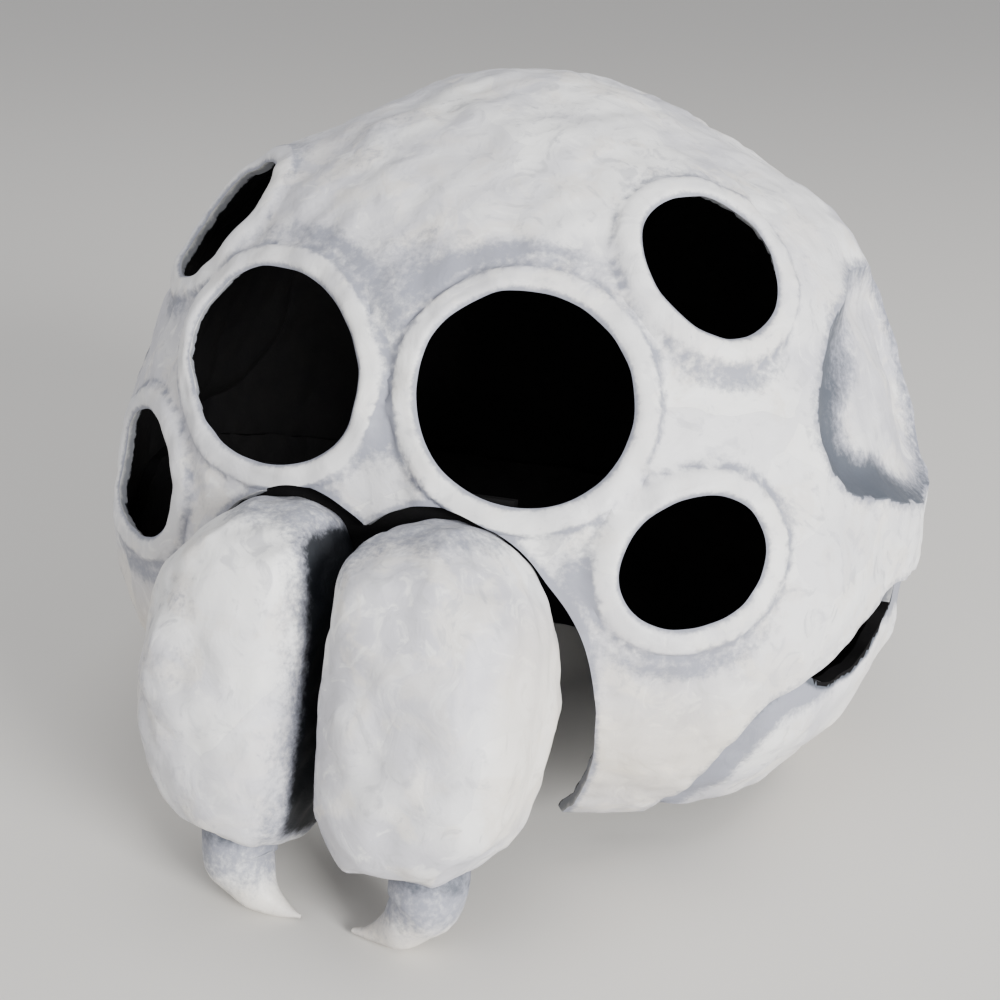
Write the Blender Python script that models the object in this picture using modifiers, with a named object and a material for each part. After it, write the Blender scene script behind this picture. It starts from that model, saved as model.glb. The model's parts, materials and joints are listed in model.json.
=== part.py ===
"""A papier-mache spider head mask at its real size.

A domed carapace carries six open eyes, a closed scooped eye on each temple and a wide two-lobed mouth.
A lower shell is tucked under the carapace's edge and ends at the flat rim of the neck opening.
Two rounded jaws hang from a hidden bridge behind the mouth's cusp, and each ends in a curved fang.

The head is drawn level, with its origin at the centre of the dome: +X is the wearer's left, -Y the face.
An empty then leans it back until it stands by itself on its two fangs and the rear of its neck rim.
"""

from collections import namedtuple
from math import asin, atan, atan2, copysign, cos, degrees, exp, hypot, pi, radians, sin

import bmesh
import bpy
from mathutils import Matrix, Vector
from mathutils.kdtree import KDTree

# Dome, measured from its centre
HALF_WIDTH = 0.175
FRONT_DEPTH = 0.156
BACK_DEPTH = 0.165
CROWN_HEIGHT = 0.167
JAW_DEPTH = 0.162

# Walls and clearances
WALL = 0.005
SHELL_GAP = 0.0005
SEAT_GAP = 0.0003

# Open eyes
BIG_EYE = 0.039
UPPER_EYE = 0.0272
LOWER_EYE = 0.0252
RIM_WIDTH = 0.009
RIM_RISE = 0.0022

# Scooped temple
TEMPLE_REACH = 0.060
TEMPLE_Y = -0.008
TEMPLE_Z = 0.050
TEMPLE_DEPTH = 0.0105
TEMPLE_SLOPE = 0.016

# Mouth, as one lobe on each side of the cusp
LOBE = 0.060
LOBE_X = 0.042
LOBE_Z = -0.062

# Lower shell and neck
TUCK = 0.012
SLIT = 0.017
STEP_RUN = 0.022
NECK_Z = -0.113
NECK_SLOPE = 0.13

# Jaws
LEFT_JAW_HALF_WIDTH = 0.0375
LEFT_JAW_X = 0.0405
RIGHT_JAW_HALF_WIDTH = 0.0335
RIGHT_JAW_X = 0.0370
JAW_HALF_DEPTH = 0.040
JAW_HALF_HEIGHT = 0.064
JAW_Y = -0.155
JAW_Z = -0.0695
JAW_BOW = 0.003

# Fangs
FANG_RADIUS = 0.0145
FANG_DROP = 0.028
FANG_SWEEP = 0.0285
FANG_X = 0.0395
FANG_Y = -0.149
FANG_SINK = 0.016

# Bridge that carries the jaws behind the cusp
BRIDGE_HALF_WIDTH = 0.054
BRIDGE_TOP = 0.004
BRIDGE_BOTTOM = -0.022
BRIDGE_DEPTH = 0.009

# How boxy a jaw is, seen from above and from the front on its outer and inner side: 2 is an oval
JAW_PLAN = 3.0
JAW_OUTER_PROFILE = 2.4
JAW_INNER_PROFILE = 3.4

# Fineness of the mesh
DOME_STEPS = 4
FINE_REACH = 0.010
SCOOP_REACH = 0.004
SNAP_SHARE = 0.36
CROSSING_STEPS = 14
EDGE_STEPS = 24
JAW_SIDES = 22
JAW_RINGS = 16
FANG_ROUNDING = 2
SHARP_ANGLE = 40
WELD = 1e-5
NARROWEST_OVAL = 0.02
FAR = 1.0

Swelling = namedtuple("Swelling", "azimuth elevation reach rise")
Eye = namedtuple("Eye", "size azimuth elevation half_width half_height tilt squareness")
Patch = namedtuple("Patch", "centre normal right up")
OutlinePoint = namedtuple("OutlinePoint", "angle radius")
EdgePoint = namedtuple("EdgePoint", "azimuth elevation")
TuckPoint = namedtuple("TuckPoint", "azimuth height")
FangStation = namedtuple("FangStation", "drop sweep thickness")
Jaw = namedtuple("Jaw", "name side x half_width")

# Swellings and flats of the dome on each side: places and reach in degrees, rise in half widths
SWELLINGS = (
    Swelling(azimuth=0, elevation=10, reach=40, rise=-0.057),
    Swelling(azimuth=0, elevation=86, reach=18, rise=0.023),
    Swelling(azimuth=58, elevation=-25, reach=22, rise=0.063),
    Swelling(azimuth=62, elevation=42, reach=17, rise=0.026),
    Swelling(azimuth=70, elevation=57, reach=15, rise=-0.030),
    Swelling(azimuth=96, elevation=1, reach=10, rise=0.017),
    Swelling(azimuth=95, elevation=43, reach=10, rise=0.022),
    Swelling(azimuth=64, elevation=14, reach=20, rise=-0.014),
    Swelling(azimuth=90, elevation=-28, reach=16, rise=0.011),
    Swelling(azimuth=75, elevation=-58, reach=20, rise=-0.017),
)

# Open eyes: places and tilt in degrees, half sizes as shares of the eye's named size
EYES = (
    Eye(BIG_EYE, azimuth=21.1, elevation=15.6, half_width=0.98, half_height=1.03, tilt=52, squareness=1.93),
    Eye(BIG_EYE, azimuth=-20.7, elevation=16.1, half_width=1.18, half_height=0.9, tilt=-28, squareness=1.9),
    Eye(UPPER_EYE, azimuth=48.6, elevation=34.4, half_width=1.09, half_height=0.92, tilt=113, squareness=2.04),
    Eye(UPPER_EYE, azimuth=-50, elevation=35, half_width=1.09, half_height=0.92, tilt=-113, squareness=2.04),
    Eye(LOWER_EYE, azimuth=44.7, elevation=-3.9, half_width=0.89, half_height=1.11, tilt=-60, squareness=2.1),
    Eye(LOWER_EYE, azimuth=-44.7, elevation=-3.5, half_width=0.93, half_height=1.14, tilt=60, squareness=2.1),
)

# Temple scoop seen from the side: angle up from straight back, radius in temple reaches
TEMPLE_OUTLINE = [OutlinePoint(*row) for row in (
    (0, 1.00), (30, 0.98), (60, 0.93), (90, 0.82), (130, 0.83), (158, 0.92), (180, 1.05), (198, 1.15),
    (208, 1.12), (218, 1.00), (230, 0.82), (264, 0.69), (300, 0.77), (330, 0.93), (360, 1.00),
)]

# Mouth lobe seen from the front: angle up from straight outwards, radius in lobes
MOUTH_OUTLINE = [OutlinePoint(*row) for row in (
    (-95, 2.40), (-88, 1.60), (-78, 1.23), (-62, 1.04), (-41, 0.89), (-15, 0.76), (10, 0.73), (34, 0.745),
    (53, 0.775), (71, 0.865), (88, 0.95), (102, 1.04), (115, 1.08), (130, 1.09), (180, 1.30), (230, 2.40),
)]

# Carapace edge: azimuth from the face, elevation of the edge
EDGE_LINE = [EdgePoint(*row) for row in (
    (0, -80), (50, -74), (54, -56), (55.2, -34), (56.6, -24.5), (59, -20.5), (63.7, -18.3), (68.8, -16),
    (74, -12), (78.8, -8.8), (84, -7.4), (95, -7), (120, -8), (150, -10), (180, -11),
)]

# Top of the lower shell on the wearer's left: its height over the carapace edge in tucks, or below that
# edge in slits. On the right it has the height of the first row all the way
TUCK_LINE = [TuckPoint(*row) for row in (
    (0, 1.0), (60, 1.0), (64, 0.3), (66.5, -0.25), (71, -0.75), (77, -1.0), (83.5, -0.85), (88, -0.1),
    (92, 1.0), (180, 1.0),
)]

# Fang below its root: drop and inward sweep as shares of the named ones, then thickness
FANG_ROUTE = [FangStation(*row) for row in (
    (0.00, 0.00, 1.00), (0.36, 0.03, 0.97), (0.58, 0.16, 0.80), (0.80, 0.36, 0.58),
    (0.93, 0.60, 0.34), (1.00, 0.82, 0.17), (1.02, 1.00, 0.06),
)]

JAWS = (
    Jaw("left", side=1, x=LEFT_JAW_X, half_width=LEFT_JAW_HALF_WIDTH),
    Jaw("right", side=-1, x=RIGHT_JAW_X, half_width=RIGHT_JAW_HALF_WIDTH),
)

# Paint colours and how matt they are
WHITE = (0.78, 0.77, 0.75, 1.0)
CREAM = (0.74, 0.70, 0.62, 1.0)
BLACK = (0.02, 0.02, 0.022, 1.0)
PAPER_ROUGHNESS = 0.75
FANG_ROUGHNESS = 0.65
BRIDGE_ROUGHNESS = 0.8


# Smooth line through the rows of a table, with no overshoot
def table_value(rows, position):
    rows = [(row[0], row[1]) for row in rows]
    position = min(max(position, rows[0][0]), rows[-1][0])
    slopes = [(b[1] - a[1]) / (b[0] - a[0]) for a, b in zip(rows, rows[1:])]
    tangents = [slopes[0]]
    for before, after in zip(slopes, slopes[1:]):
        same_way = before * after > 0
        tangents.append(2 * before * after / (before + after) if same_way else 0.0)
    tangents.append(slopes[-1])
    index = max(i for i, row in enumerate(rows[:-1]) if row[0] <= position)
    start, end = rows[index], rows[index + 1]
    span = end[0] - start[0]
    share = (position - start[0]) / span
    rest = 1 - share
    return (start[1] * (1 + 2 * share) * rest ** 2 + end[1] * (3 - 2 * share) * share ** 2
            + span * (tangents[index] * share * rest ** 2 - tangents[index + 1] * share ** 2 * rest))


# Azimuth from the face towards +X, and elevation
def heading(azimuth, elevation):
    turn, lift = radians(azimuth), radians(elevation)
    return Vector((sin(turn) * cos(lift), -cos(turn) * cos(lift), sin(lift)))


def azimuth_of(point):
    return degrees(atan2(point.x, -point.y))


def elevation_of(point):
    return degrees(asin(point.normalized().z))


SWELLING_HEADINGS = [
    (heading(side * row.azimuth, row.elevation), row)
    for row in SWELLINGS
    for side in ((1, -1) if row.azimuth else (1,))
]


# The dome's smooth surface in the direction of a point
def on_form(point):
    way = point.normalized()
    depth = FRONT_DEPTH if way.y < 0 else BACK_DEPTH
    height = CROWN_HEIGHT if way.z > 0 else JAW_DEPTH
    reach = 1 / Vector((way.x / HALF_WIDTH, way.y / depth, way.z / height)).length
    for middle, row in SWELLING_HEADINGS:
        away = degrees(way.angle(middle))
        reach += row.rise * HALF_WIDTH * exp(-((away / row.reach) ** 2))
    return way * reach


# The flat frame that touches the dome at one place
def patch(azimuth, elevation):
    step = 2.0
    centre = on_form(heading(azimuth, elevation))
    across = on_form(heading(azimuth + step, elevation)) - on_form(heading(azimuth - step, elevation))
    upward = on_form(heading(azimuth, elevation + step)) - on_form(heading(azimuth, elevation - step))
    normal = across.cross(upward).normalized()
    right = Vector((-normal.y, normal.x, 0)).normalized()
    return Patch(centre, normal, right, normal.cross(right))


EYE_PATCHES = [(eye, patch(eye.azimuth, eye.elevation)) for eye in EYES]


# Distance outside an eye's oval, less than zero in the opening
def eye_distance(eye, place, point):
    offset = point - place.centre
    if offset.length > 3 * eye.size:
        return FAR
    turn = radians(eye.tilt)
    across = offset.dot(place.right) * cos(turn) + offset.dot(place.up) * sin(turn)
    along = offset.dot(place.up) * cos(turn) - offset.dot(place.right) * sin(turn)
    power = eye.squareness
    oval = (abs(across / (eye.half_width * eye.size)) ** power
            + abs(along / (eye.half_height * eye.size)) ** power) ** (1 / power)
    return hypot(across, along) * (1 - 1 / max(oval, NARROWEST_OVAL))


# Distance outside the nearest eye's oval
def eyes_distance(point):
    return min(eye_distance(eye, place, point) for eye, place in EYE_PATCHES)


# Distance outside the temple scoop
def temple_distance(point):
    if abs(point.x) < HALF_WIDTH / 2:
        return FAR
    back, up = point.y - TEMPLE_Y, point.z - TEMPLE_Z
    angle = degrees(atan2(up, back)) % 360
    return hypot(back, up) - TEMPLE_REACH * table_value(TEMPLE_OUTLINE, angle)


# Distance outside the mouth
def mouth_distance(point):
    if point.y > 0:
        return FAR
    out, up = abs(point.x) - LOBE_X, point.z - LOBE_Z
    angle = (degrees(atan2(up, out)) + 100) % 360 - 100
    return hypot(out, up) - LOBE * table_value(MOUTH_OUTLINE, angle)


# Points close together along the carapace's lower edge
def edge_points():
    points = []
    for start, end in zip(EDGE_LINE, EDGE_LINE[1:]):
        for step in range(EDGE_STEPS):
            azimuth = start.azimuth + (end.azimuth - start.azimuth) * step / EDGE_STEPS
            elevation = table_value(EDGE_LINE, azimuth)
            points += [on_form(heading(side * azimuth, elevation)) for side in (1, -1)]
    tree = KDTree(len(points))
    for index, point in enumerate(points):
        tree.insert(point, index)
    tree.balance()
    return tree


EDGE_POINTS = edge_points()


# Distance above the carapace's lower edge
def edge_distance(point):
    rise = elevation_of(point) - table_value(EDGE_LINE, abs(azimuth_of(point)))
    return copysign(EDGE_POINTS.find(point)[2], rise)


# Distance above the lower shell's top edge
def tuck_distance(point):
    share = table_value(TUCK_LINE, max(azimuth_of(point), 0.0))
    return edge_distance(point) - (share * TUCK if share > 0 else share * SLIT)


# Distance above the plane of the neck rim
def neck_distance(point):
    return point.z - NECK_Z - NECK_SLOPE * point.y


# Halve the edges of the dome's faces that are chosen by their middles
def refine(bm, chosen):
    near = set()
    for face in bm.faces:
        if chosen(on_form(face.calc_center_median())):
            near.update(face.edges)
    bmesh.ops.subdivide_edges(bm, edges=list(near), cuts=1, use_grid_fill=True)
    bmesh.ops.triangulate(bm, faces=bm.faces[:])
    for vert in bm.verts:
        vert.co = on_form(vert.co)


# Dome triangles, finer near the lines that will be cut and finest in the scooped temples
def dome_mesh(lines):
    bm = bmesh.new()
    bmesh.ops.create_icosphere(bm, subdivisions=DOME_STEPS, radius=HALF_WIDTH)
    for vert in bm.verts:
        vert.co = on_form(vert.co)
    in_scoop = lambda point: temple_distance(point) < SCOOP_REACH
    refine(bm, lambda point: in_scoop(point) or min(abs(line(point)) for line in lines) < FINE_REACH)
    refine(bm, in_scoop)
    return bm


# Where an edge crosses a line, on the dome
def crossing(edge, distance, value):
    inner, outer = sorted(edge.verts, key=lambda vert: value[vert])
    low, high = inner.co.copy(), outer.co.copy()
    for _ in range(CROSSING_STEPS):
        middle = (low + high) / 2
        if distance(middle) < 0:
            low = middle
        else:
            high = middle
    return on_form((low + high) / 2)


# Put mesh edges along the line where a distance is zero
def cut_line(bm, distance, kept):
    value = {vert: distance(vert.co) for vert in bm.verts}
    nearest = {}
    for edge in bm.edges:
        a, b = edge.verts
        if value[a] * value[b] >= 0:
            continue
        point = crossing(edge, distance, value)
        reach = SNAP_SHARE * edge.calc_length()
        for vert in (a, b):
            away = (vert.co - point).length
            if vert not in kept and away < reach and away < nearest.get(vert, (reach, None))[0]:
                nearest[vert] = (away, point)
    on_line = set()
    for vert, (_, point) in nearest.items():
        vert.co = point
        value[vert] = 0.0
        on_line.add(vert)
    for edge in [edge for edge in bm.edges if value[edge.verts[0]] * value[edge.verts[1]] < 0]:
        point = crossing(edge, distance, value)
        vert = bmesh.utils.edge_split(edge, edge.verts[0], 0.5)[1]
        vert.co = point
        on_line.add(vert)
    bmesh.ops.connect_verts(bm, verts=list(on_line))
    bmesh.ops.triangulate(bm, faces=[face for face in bm.faces if len(face.verts) > 3])
    kept.update(on_line)


# Remove the faces on the low side of a line
def open_below(bm, distance):
    gone = [face for face in bm.faces if distance(on_form(face.calc_center_median())) < 0]
    bmesh.ops.delete(bm, geom=gone, context="FACES")


# Height of the carapace's relief over the smooth dome
def relief(point):
    rim = max(0.0, 1 - max(eyes_distance(point), 0.0) / RIM_WIDTH)
    scoop = min(max(-temple_distance(point) / TEMPLE_SLOPE, 0.0), 1.0)
    return RIM_RISE * rim - TEMPLE_DEPTH * sin(scoop * pi / 2)


# Turn every face outwards
def outward(bm):
    bm.normal_update()
    bmesh.ops.recalc_face_normals(bm, faces=bm.faces[:])


def new_object(name, bm, color, roughness):
    mesh = bpy.data.meshes.new(name)
    outward(bm)
    bm.to_mesh(mesh)
    bm.free()
    mesh.shade_smooth()
    mesh.set_sharp_from_angle(angle=radians(SHARP_ANGLE))
    return finish_object(bpy.data.objects.new(name, mesh), color, roughness)


def finish_object(obj, color, roughness):
    material = bpy.data.materials.new(obj.name + "_paint")
    material.use_nodes = True
    shader = material.node_tree.nodes["Principled BSDF"]
    shader.inputs["Base Color"].default_value = color
    shader.inputs["Roughness"].default_value = roughness
    shader.inputs["Metallic"].default_value = 0.0
    material.diffuse_color = color
    obj.data.materials.append(material)
    parts.objects.link(obj)
    obj.parent = stance
    return obj


def add_wall(obj, thickness):
    wall = obj.modifiers.new("wall", "SOLIDIFY")
    wall.thickness = thickness
    wall.offset = -1.0
    return wall


def cut_away(obj, cutter):
    cut = obj.modifiers.new("cut_" + cutter.name, "BOOLEAN")
    cut.operation = "DIFFERENCE"
    cut.object = cutter


def as_cutter(obj):
    cutters.objects.link(obj)
    obj.parent = stance
    obj.hide_render = True
    obj.display_type = "WIRE"
    return obj


# Everything below the neck rim
def make_neck_cutter():
    side = 4 * HALF_WIDTH
    bm = bmesh.new()
    bmesh.ops.create_cube(bm, size=side)
    lean = Matrix.Rotation(atan(NECK_SLOPE), 4, "X")
    bmesh.ops.transform(bm, matrix=Matrix.Translation((0, 0, NECK_Z)) @ lean
                        @ Matrix.Translation((0, 0, -side / 2)), verts=bm.verts[:])
    mesh = bpy.data.meshes.new("below_neck")
    bm.to_mesh(mesh)
    bm.free()
    return as_cutter(bpy.data.objects.new("below_neck", mesh))


# The domed upper shell with its eyes, temples and mouth
def make_carapace(dome, neck_cutter):
    bm = dome.copy()
    kept = set()
    for line in (edge_distance, eyes_distance, mouth_distance, temple_distance):
        cut_line(bm, line, kept)
    cut_line(bm, lambda point: eyes_distance(point) - RIM_WIDTH, kept)
    for line in (edge_distance, eyes_distance, mouth_distance):
        open_below(bm, line)
    for vert in bm.verts:
        vert.co = vert.co + vert.co.normalized() * relief(vert.co)
    carapace = new_object("carapace", bm, WHITE, PAPER_ROUGHNESS)
    add_wall(carapace, WALL)
    cut_away(carapace, neck_cutter)


# The lower shell, tucked inside the carapace and swelling out below its edge
def make_under_shell(dome, neck_cutter):
    bm = dome.copy()
    kept = set()
    for line in (edge_distance, tuck_distance, mouth_distance):
        cut_line(bm, line, kept)
    above = lambda point: -tuck_distance(point)
    below = lambda point: neck_distance(point) + 2 * WALL
    for line in (above, below, mouth_distance):
        open_below(bm, line)
    bm.normal_update()
    inset = {}
    for vert in bm.verts:
        share = min(max(-edge_distance(vert.co) / STEP_RUN, 0.0), 1.0)
        inset[vert] = vert.normal * (WALL + SHELL_GAP) * (1 - share)
    for vert, shift in inset.items():
        vert.co -= shift
    under_shell = new_object("under_shell", bm, WHITE, PAPER_ROUGHNESS)
    add_wall(under_shell, WALL)
    cut_away(under_shell, neck_cutter)


# A plain curved band on the carapace's inner face behind the cusp, grown by a margin on every side
def bridge_mesh(dome, margin):
    bm = dome.copy()
    middle = (BRIDGE_TOP + BRIDGE_BOTTOM) / 2
    half_height = (BRIDGE_TOP - BRIDGE_BOTTOM) / 2
    beside = lambda point: BRIDGE_HALF_WIDTH - abs(point.x) if point.y < 0 else -FAR
    within = lambda point: half_height - abs(point.z - middle)
    kept = set()
    for line in (beside, within):
        cut_line(bm, line, kept)
    for line in (beside, within):
        open_below(bm, line)
    bm.normal_update()
    moves = {}
    for vert in bm.verts:
        grow = Vector((copysign(margin, vert.co.x), 0, copysign(margin, vert.co.z - middle)))
        moves[vert] = grow * vert.is_boundary - vert.normal * (WALL + SHELL_GAP - margin)
    for vert, move in moves.items():
        vert.co += move
    return bm


# The bridge, and the cutter that seats the jaws on it
def make_bridge(dome):
    bridge = new_object("jaw_bridge", bridge_mesh(dome, 0.0), BLACK, BRIDGE_ROUGHNESS)
    add_wall(bridge, BRIDGE_DEPTH)
    bm = bridge_mesh(dome, SEAT_GAP)
    mesh = bpy.data.meshes.new("bridge_seat")
    outward(bm)
    bm.to_mesh(mesh)
    bm.free()
    seat = as_cutter(bpy.data.objects.new("bridge_seat", mesh))
    add_wall(seat, BRIDGE_DEPTH + 2 * SEAT_GAP)
    return seat


# A rounded jaw: full in height, boxier in plan and on its inner side
def jaw_mesh(jaw, margin):
    bm = bmesh.new()
    bmesh.ops.create_uvsphere(bm, u_segments=JAW_SIDES, v_segments=JAW_RINGS, radius=1.0)
    for vert in bm.verts:
        across, deep, up = vert.co
        inner = min(max(0.5 - across, 0.0), 1.0)
        power = JAW_OUTER_PROFILE + (JAW_INNER_PROFILE - JAW_OUTER_PROFILE) * inner ** 2 * (3 - 2 * inner)
        plan = (abs(across) ** JAW_PLAN + abs(deep) ** JAW_PLAN) ** (1 / JAW_PLAN)
        reach = (plan ** power + abs(up) ** power) ** (-1 / power)
        vert.co = Vector((
            jaw.side * (jaw.x - JAW_BOW * (reach * up) ** 2 + (jaw.half_width + margin) * reach * across),
            JAW_Y + (JAW_HALF_DEPTH + margin) * reach * deep,
            JAW_Z + (JAW_HALF_HEIGHT + margin) * reach * up,
        ))
    outward(bm)
    return bm


# A jaw, and the cutter that seats its fang
def make_jaw(jaw, bridge_seat):
    obj = new_object("chelicera_" + jaw.name, jaw_mesh(jaw, 0.0), WHITE, PAPER_ROUGHNESS)
    cut_away(obj, bridge_seat)
    mesh = bpy.data.meshes.new("jaw_seat_" + jaw.name)
    bm = jaw_mesh(jaw, SEAT_GAP)
    bm.to_mesh(mesh)
    bm.free()
    return as_cutter(bpy.data.objects.new("jaw_seat_" + jaw.name, mesh))


# A tapering fang that drops from the jaw's underside and hooks towards the middle
def make_fang(jaw, jaw_seat):
    curve = bpy.data.curves.new("fang_" + jaw.name, "CURVE")
    curve.dimensions = "3D"
    curve.bevel_depth = FANG_RADIUS
    curve.bevel_resolution = FANG_ROUNDING
    curve.use_fill_caps = True
    route = curve.splines.new("POLY")
    route.points.add(len(FANG_ROUTE))
    root_z = JAW_Z - JAW_HALF_HEIGHT
    route.points[0].co = (jaw.side * FANG_X, FANG_Y, root_z + FANG_SINK, 1)
    for point, station in zip(route.points[1:], FANG_ROUTE):
        x = jaw.side * (FANG_X - FANG_SWEEP * station.sweep)
        point.co = (x, FANG_Y, root_z - FANG_DROP * station.drop, 1)
        point.radius = station.thickness
    guide = bpy.data.objects.new("fang_route_" + jaw.name, curve)
    parts.objects.link(guide)
    evaluated = guide.evaluated_get(bpy.context.evaluated_depsgraph_get())
    mesh = bpy.data.meshes.new_from_object(evaluated)
    bpy.data.objects.remove(guide)
    bm = bmesh.new()
    bm.from_mesh(mesh)
    bpy.data.meshes.remove(mesh)
    bmesh.ops.remove_doubles(bm, verts=bm.verts[:], dist=WELD)
    cut_away(new_object("fang_" + jaw.name, bm, CREAM, FANG_ROUGHNESS), jaw_seat)


# Points of every finished part, in the level frame
def finished_points():
    graph = bpy.context.evaluated_depsgraph_get()
    points = []
    for obj in parts.objects:
        if obj.type == "MESH":
            mesh = obj.evaluated_get(graph).to_mesh()
            points += [vert.co.copy() for vert in mesh.vertices]
    return points


# The line under the head, seen from the side, that it comes to rest on
def resting_line(points):
    hull = []
    for y, z in sorted((point.y, point.z) for point in points):
        while len(hull) > 1:
            (ay, az), (by, bz) = hull[-2], hull[-1]
            if (by - ay) * (z - az) - (bz - az) * (y - ay) > 0:
                break
            hull.pop()
        hull.append((y, z))
    return next((a, b) for a, b in zip(hull, hull[1:]) if b[0] > 0)


# Lean the head back onto its resting line, with its box centred over the origin
def set_stance():
    points = finished_points()
    front, rear = resting_line(points)
    lean = Matrix.Rotation(-atan2(rear[1] - front[1], rear[0] - front[0]), 4, "X")
    leant = [lean @ point for point in points]
    low = Vector([min(point[axis] for point in leant) for axis in range(3)])
    high = Vector([max(point[axis] for point in leant) for axis in range(3)])
    stance.matrix_world = Matrix.Translation((-(low.x + high.x) / 2, -(low.y + high.y) / 2, -low.z)) @ lean


for old in list(bpy.data.objects):
    bpy.data.objects.remove(old)

parts = bpy.data.collections.new("spider_head_mask")
cutters = bpy.data.collections.new("cutters")
for collection in (parts, cutters):
    bpy.context.scene.collection.children.link(collection)
stance = bpy.data.objects.new("stance", None)
parts.objects.link(stance)

dome = dome_mesh((eyes_distance, mouth_distance, edge_distance, tuck_distance, temple_distance))
neck_cutter = make_neck_cutter()
make_carapace(dome, neck_cutter)
make_under_shell(dome, neck_cutter)
bridge_seat = make_bridge(dome)
for jaw in JAWS:
    make_fang(jaw, make_jaw(jaw, bridge_seat))
dome.free()
set_stance()
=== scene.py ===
"""Looks of a papier-mache spider head mask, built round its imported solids.

The head is drawn level, as it is worn: +X is the wearer's left and -Y is the face. Each finished mesh
is then leaned back with the solids, which stand on the two fangs and the rear of the neck rim.
"""

import json
from collections import namedtuple
from math import atan2, cos, pi, radians, sin

import bmesh
import bpy
import numpy as np
from mathutils import Matrix, Vector
from mathutils.kdtree import KDTree


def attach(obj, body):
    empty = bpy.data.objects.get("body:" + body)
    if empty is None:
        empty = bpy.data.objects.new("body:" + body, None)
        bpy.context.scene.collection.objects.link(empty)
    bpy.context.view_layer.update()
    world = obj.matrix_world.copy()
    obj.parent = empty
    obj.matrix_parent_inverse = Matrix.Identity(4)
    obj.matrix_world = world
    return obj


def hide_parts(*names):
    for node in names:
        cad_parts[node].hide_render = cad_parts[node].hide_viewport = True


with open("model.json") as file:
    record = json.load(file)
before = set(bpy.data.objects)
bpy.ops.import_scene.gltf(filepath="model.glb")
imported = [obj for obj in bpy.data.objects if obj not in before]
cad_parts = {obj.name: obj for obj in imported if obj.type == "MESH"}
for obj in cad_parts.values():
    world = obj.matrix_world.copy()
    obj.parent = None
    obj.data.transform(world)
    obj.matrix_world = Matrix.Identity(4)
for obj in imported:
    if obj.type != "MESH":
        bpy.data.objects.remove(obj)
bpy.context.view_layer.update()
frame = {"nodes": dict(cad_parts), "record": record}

# Dome, measured from its centre
HALF_WIDTH = 0.175
FRONT_DEPTH = 0.156
BACK_DEPTH = 0.165
CROWN_HEIGHT = 0.167
JAW_DEPTH = 0.162

# Walls and clearances
WALL = 0.005
SHELL_GAP = 0.0005

# Open eyes and their raised rings
BIG_EYE = 0.039
UPPER_EYE = 0.0272
LOWER_EYE = 0.0252
RIM_WIDTH = 0.009
RIM_RISE = 0.0027

# Scooped temple
TEMPLE_REACH = 0.060
TEMPLE_Y = -0.008
TEMPLE_Z = 0.050
TEMPLE_DEPTH = 0.0105
TEMPLE_SLOPE = 0.016

# Mouth, as one lobe on each side of the cusp
LOBE = 0.060
LOBE_X = 0.042
LOBE_Z = -0.062

# Lower shell and neck
TUCK = 0.012
SLIT = 0.017
STEP_RUN = 0.022
NECK_Z = -0.113
NECK_SLOPE = 0.13
NECK_POINT_X = 0.125

# Jaws and fangs
LEFT_JAW_HALF_WIDTH = 0.0375
LEFT_JAW_X = 0.0405
RIGHT_JAW_HALF_WIDTH = 0.0335
RIGHT_JAW_X = 0.0370
JAW_HALF_DEPTH = 0.040
JAW_HALF_HEIGHT = 0.064
JAW_Y = -0.155
JAW_Z = -0.0695
JAW_BOW = 0.003
JAW_PLAN = 3.0
JAW_OUTER_PROFILE = 2.4
JAW_INNER_PROFILE = 3.4
FANG_RADIUS = 0.0145
FANG_DROP = 0.028
FANG_SWEEP = 0.0285
FANG_X = 0.0395
FANG_Y = -0.149
FANG_SINK = 0.010

# Paper surface: soft facets left by the strips, and low lumps
FACET_REACH = 0.036
FACET_SHARE = 0.85
FACET_SOFTNESS = 0.07
JAW_FACET_REACH = 0.024
JAW_FACET_SHARE = 0.45
JAW_ROUND = 0.048
LUMP_RISE = 0.00042
LUMP_LENGTH = 0.045
LUMP_COUNT = 22
LUMP_SHORTENING = 0.22
LUMP_FADING = 0.25
FANG_LUMP_SHARE = 0.5
FLAT_PRESS = 0.75

# Fineness of the meshes
DOME_STEPS = 7
JAW_STEPS = 6
FANG_SIDES = 28
FANG_STATIONS = 26
CROSSING_STEPS = 14
EDGE_STEPS = 150
FINE_REACH = 0.006
SNAP_SHARE = 0.36
FAR = 1.0

# Places of the painted shade and the washes: reaches along the surface, and azimuths past the two ends of
# the slit
MOUTH_EDGE_SHADE = 0.0025
LOWER_EDGE_SHADE = 0.003
TEMPLE_EDGE_SHADE = 0.004
CREASE_FADE = (-0.024, -0.009)
CREASE_SHADOW = -0.002
CREASE_SHADOW_REACH = 0.006
SLIT_SHADOW = 0.003
SLIT_ENDS = (58, 96)
HIDDEN_OVER_EDGE = 0.002
HIDDEN_BY_TUCK = -0.0015
SLIT_SHADOW_DEPTH = -0.004
CHIN_HEIGHT = -0.09
CHIN_REACH = 0.03

# Places of the inner and the rim paint among a wall's materials
INNER, RIM = 1, 2

# Painted shade in the temple: reach from its edge, deeper round two angles, and the angle where it is
# darkest
TEMPLE_SHADE_REACH = 0.010
TEMPLE_SHADE_DEEPER = ((0.034, 165, 50), (0.008, 235, 40))
TEMPLE_SHADE_FADE = (0.15, 1.25)
TEMPLE_DARKEST = 215
TEMPLE_DARK_SPREAD = 75
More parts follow.
